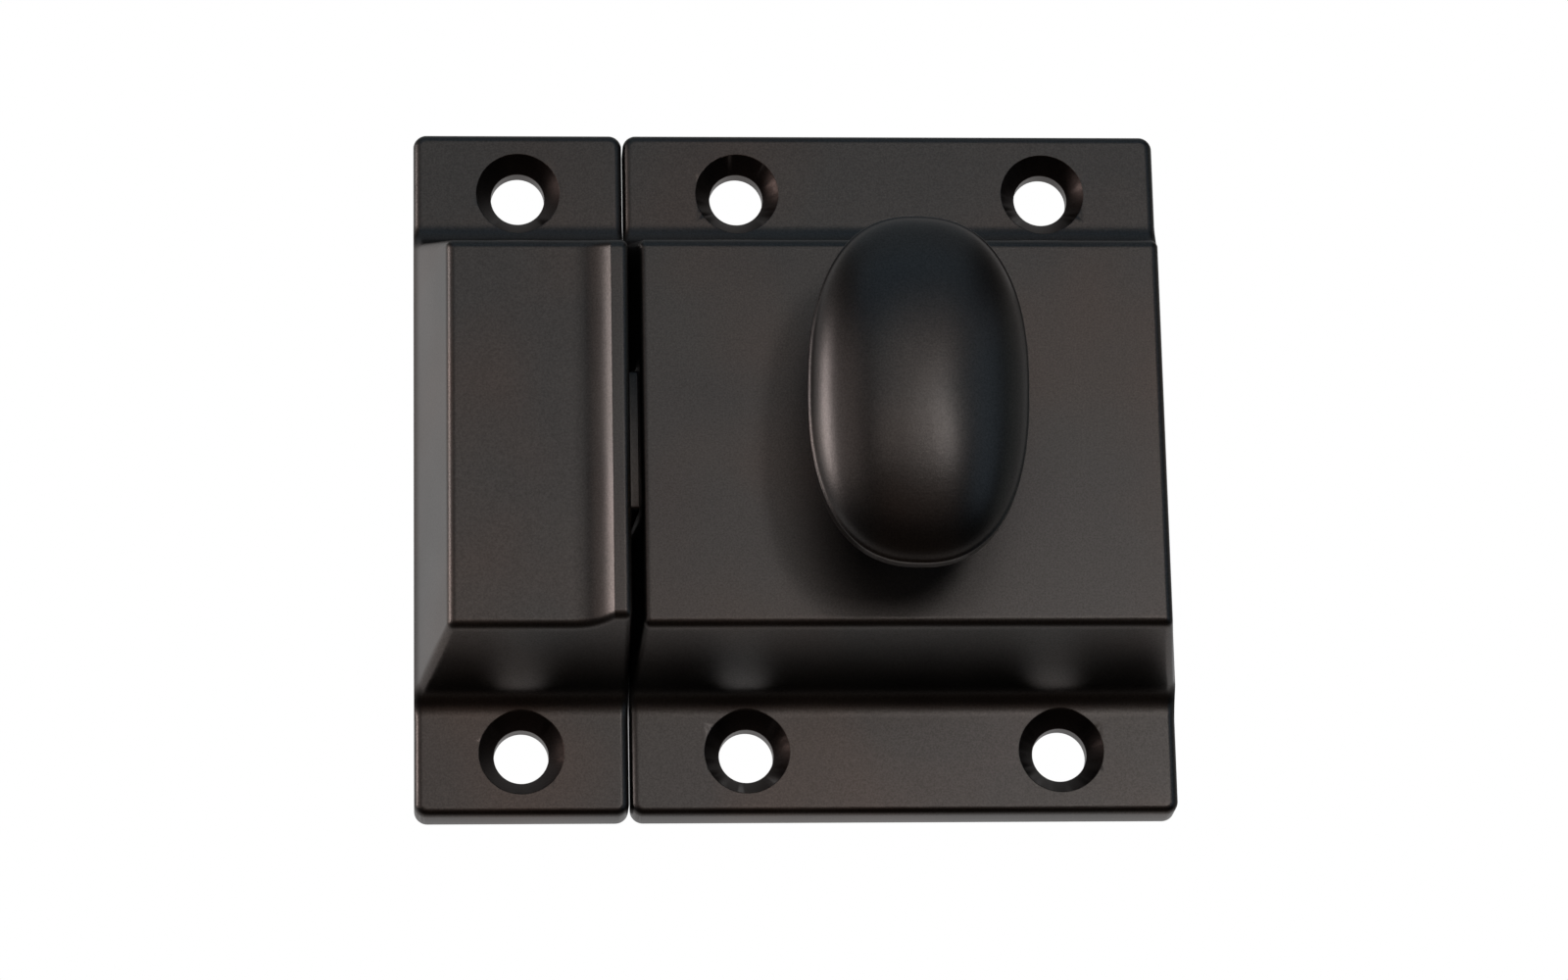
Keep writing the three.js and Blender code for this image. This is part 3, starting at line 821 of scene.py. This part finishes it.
def turned_brass():
    """Free-cutting brass, turned on a lathe: warm yellow, with fine tool rings."""
    material, tree, shader = new_material("brass_turned")
    if not tree:
        return material
    place = node(tree, "ShaderNodeTexCoord").outputs["Object"]
    clouds = node(tree, "ShaderNodeTexNoise", {"Scale": per_size(2), "Detail": 3.0}, {"Vector": place})
    tint = node(tree, "ShaderNodeMix", {"data_type": "RGBA"}, {0: clouds.outputs["Fac"]})
    tint.inputs[6].default_value = opaque(colours().brass)
    tint.inputs[7].default_value = opaque([0.8 * c for c in colours().brass])
    tree.links.new(tint.outputs[2], shader.inputs["Base Color"])
    # Tool rings are 0.1 mm apart.
    rings = node(tree, "ShaderNodeTexWave", {"wave_type": "RINGS", "rings_direction": "Y",
                                             "Scale": per_size(0.6), "Distortion": 0.5}, {"Vector": place})
    bump = node(tree, "ShaderNodeBump", {"Strength": 0.2, "Distance": 0.01 * MM},
                {"Height": rings.outputs["Fac"]})
    tree.links.new(bump.outputs["Normal"], shader.inputs["Normal"])
    shader.inputs["Metallic"].default_value = 1.0
    shader.inputs["Roughness"].default_value = 0.3
    return material


def pale_floor():
    """Matt painted board, rolled: pale and even, with a faint mottle."""
    material, tree, shader = new_material("matt_paint_rolled")
    if not tree:
        return material
    place = node(tree, "ShaderNodeTexCoord").outputs["Object"]
    mottle = node(tree, "ShaderNodeTexNoise", {"Scale": per_size(30), "Detail": 2.0}, {"Vector": place})
    tint = node(tree, "ShaderNodeMix", {"data_type": "RGBA"}, {0: mottle.outputs["Fac"]})
    tint.inputs[6].default_value = opaque(colours().floor)
    tint.inputs[7].default_value = opaque([0.97 * c for c in colours().floor])
    tree.links.new(tint.outputs[2], shader.inputs["Base Color"])
    shader.inputs["Roughness"].default_value = 0.8
    return material


# ---- stage ----------------------------------------------------------------------------------

# The camera stands to the left of the latch and below it, and looks up at its middle.
CAMERA = {"yaw": 3.9, "pitch": 17.0, "roll": -1.19, "distance": 0.437, "lens": 131.5}
AIM_SHIFT = (-0.38, -0.89)  # where it aims, in mm to the right of and above the middle of the latch
FLOOR_DROP = 0.22
FLOOR_SIZE = 3.0
# How the surroundings' strength changes along Y, Z and X: start, end, strength at the start and at the end.
BEHIND = (-0.2, 0.7, 0.0, 0.72)
ABOVE = (0.3, 0.9, 1.0, 0.3)
RIGHT = (0.4, 0.9, 1.0, 0.4)
# Soft panels round the latch, all aimed at it: name, place and size in metres, watts and tint.
PANELS = [
    ("front_middle", (-0.04, -0.6, 0.05), 0.42, 0.16, 0.18, (1.0, 0.89, 0.83)),
    ("front_upper", (-0.02, -0.57, 0.2), 0.5, 0.14, 0.12, (0.96, 1.0, 1.0)),
    ("front_high", (0, -0.5, 0.45), 0.9, 0.35, 0.15, (0.35, 0.68, 1.0)),
    ("overhead", (0, -0.1, 0.7), 0.9, 0.9, 0.5, (0.7, 0.87, 1.0)),
    ("left_strip", (-0.6, -0.1, 0.11), 0.13, 0.26, 0.95, (1.0, 0.91, 0.89)),
    ("left_front", (-0.48, -0.42, 0.08), 0.3, 0.4, 0.2, (1.0, 0.88, 0.83)),
    ("right_front", (0.48, -0.42, 0.05), 0.3, 0.6, 0.19, (0.6, 0.8, 1.0)),
    ("right_side", (0.6, -0.05, 0.05), 0.3, 0.6, 0.08, (0.87, 1.0, 1.0)),
    ("front_strip", (0.155, -0.57, 0.045), 0.07, 0.15, 0.22, (1.0, 0.97, 0.95)),
    ("front_low", (0, -0.6, -0.22), 0.5, 0.2, 0.035, (1.0, 0.62, 0.45)),
    ("underneath", (0, -0.15, -0.6), 0.8, 0.8, 0.05, (1.0, 0.7, 0.5)),
]


def area_light(name, place, aim, width, height, power, tint=(1, 1, 1)):
    lamp = bpy.data.lights.new(name, "AREA")
    lamp.shape, lamp.size, lamp.size_y = "RECTANGLE", width, height
    lamp.energy, lamp.color = power, tint
    made = bpy.data.objects.new(name, lamp)
    made.location = place
    made.rotation_euler = (Vector(aim) - Vector(place)).to_track_quat("-Z", "Y").to_euler()
    made.visible_camera = False
    bpy.context.scene.collection.objects.link(made)


class LATCH_OT_stage(bpy.types.Operator):
    """Set the floor, the lights, the camera and the pale surroundings"""
    bl_idname = "latch.stage"
    bl_label = "Stage"

    def execute(self, context):
        scene = context.scene
        half, level = FLOOR_SIZE / 2 / MM, -FLOOR_DROP / MM
        corners = [(-half, -half, level), (half, -half, level), (half, half, level), (-half, half, level)]
        floor = mesh_object("floor", corners, [(0, 1, 2, 3)])
        floor.data.materials.append(pale_floor())
        floor.visible_glossy = False  # the knob's gloss stays dark underneath
        self.surroundings(scene)
        self.lights()
        self.camera(scene)
        scene.view_settings.view_transform = "Standard"
        return {"FINISHED"}

    def lights(self):
        for name, place, width, height, power, tint in PANELS:
            area_light(name, place, (0, 0, 0), width, height, power, tint)

    def surroundings(self, scene):
        """White to the camera and behind the latch, dim above and to the right, and dark in front."""
        world = bpy.data.worlds.new("tent")
        scene.world = world
        world.use_nodes = True
        tree = world.node_tree
        tree.nodes.clear()
        way = node(tree, "ShaderNodeTexCoord").outputs["Generated"]
        parts = node(tree, "ShaderNodeSeparateXYZ", links={0: way})

        def ramp(axis, start, end, low, high):
            return node(tree, "ShaderNodeMapRange",
                        {"From Min": start, "From Max": end, "To Min": low, "To Max": high,
                         "interpolation_type": "SMOOTHSTEP"}, {"Value": parts.outputs[axis]}).outputs["Result"]

        shade = node(tree, "ShaderNodeMath", {"operation": "MULTIPLY"},
                     {0: ramp("Y", *BEHIND), 1: ramp("Z", *ABOVE)})
        level = node(tree, "ShaderNodeMath", {"operation": "MULTIPLY"},
                     {0: shade.outputs[0], 1: ramp("X", *RIGHT)})
        tent = node(tree, "ShaderNodeBackground", {"Color": (1, 1, 1, 1)}, {"Strength": level.outputs[0]})
        white = node(tree, "ShaderNodeBackground", {"Color": (1, 1, 1, 1), "Strength": 1.0})
        seen = node(tree, "ShaderNodeLightPath").outputs["Is Camera Ray"]
        both = node(tree, "ShaderNodeMixShader", links={0: seen, 1: tent.outputs[0], 2: white.outputs[0]})
        node(tree, "ShaderNodeOutputWorld", links={"Surface": both.outputs[0]})

    def camera(self, scene):
        yaw, pitch, roll = (math.radians(CAMERA[key]) for key in ("yaw", "pitch", "roll"))
        forward = Vector((math.sin(yaw) * math.cos(pitch), math.cos(yaw) * math.cos(pitch), math.sin(pitch)))
        level = forward.cross(Vector((0, 0, 1))).normalized()
        up = level.cross(forward)
        right = level * math.cos(roll) + up * math.sin(roll)
        up = up * math.cos(roll) - level * math.sin(roll)
        middle = (CATCH_LEFT + CASE_RIGHT) / 2
        aim = Vector(((middle + AIM_SHIFT[0]) * MM, 0, AIM_SHIFT[1] * MM))
        lens = bpy.data.cameras.new("camera")
        lens.lens, lens.sensor_width = CAMERA["lens"], 36.0
        made = bpy.data.objects.new("camera", lens)
        turn = Matrix((right, up, -forward)).transposed()
        made.matrix_world = Matrix.Translation(aim - forward * CAMERA["distance"]) @ turn.to_4x4()
        scene.collection.objects.link(made)
        scene.camera = made


# ---- add-on ---------------------------------------------------------------------------------

class LATCH_PT_panel(bpy.types.Panel):
    """The latch's sizes, colours and pieces"""
    bl_idname = "LATCH_PT_panel"
    bl_label = "Cupboard Turn Latch"
    bl_space_type = "VIEW_3D"
    bl_region_type = "UI"
    bl_category = "Latch"

    def draw(self, context):
        for group in (context.scene.latch_sizes, context.scene.latch_colours):
            column = self.layout.column(align=True)
            for key in group.__annotations__:
                column.prop(group, key)
        for operator in OPERATORS:
            self.layout.operator(operator.bl_idname)


OPERATORS = (LATCH_OT_case, LATCH_OT_catch, LATCH_OT_knob, LATCH_OT_bolt, LATCH_OT_back, LATCH_OT_works,
             LATCH_OT_stage)
CLASSES = (LatchSizes, LatchColours, *OPERATORS, LATCH_PT_panel)


def register():
    for cls in CLASSES:
        bpy.utils.register_class(cls)
    bpy.types.Scene.latch_sizes = bpy.props.PointerProperty(type=LatchSizes)
    bpy.types.Scene.latch_colours = bpy.props.PointerProperty(type=LatchColours)


def unregister():
    del bpy.types.Scene.latch_colours
    del bpy.types.Scene.latch_sizes
    for cls in reversed(CLASSES):
        bpy.utils.unregister_class(cls)


def main():
    register()
    bpy.ops.latch.case()
    bpy.ops.latch.catch_plate()
    bpy.ops.latch.knob()
    bpy.ops.latch.bolt()
    bpy.ops.latch.back()
    bpy.ops.latch.works()
    bpy.ops.latch.stage()


if __name__ == "__main__":
    main()
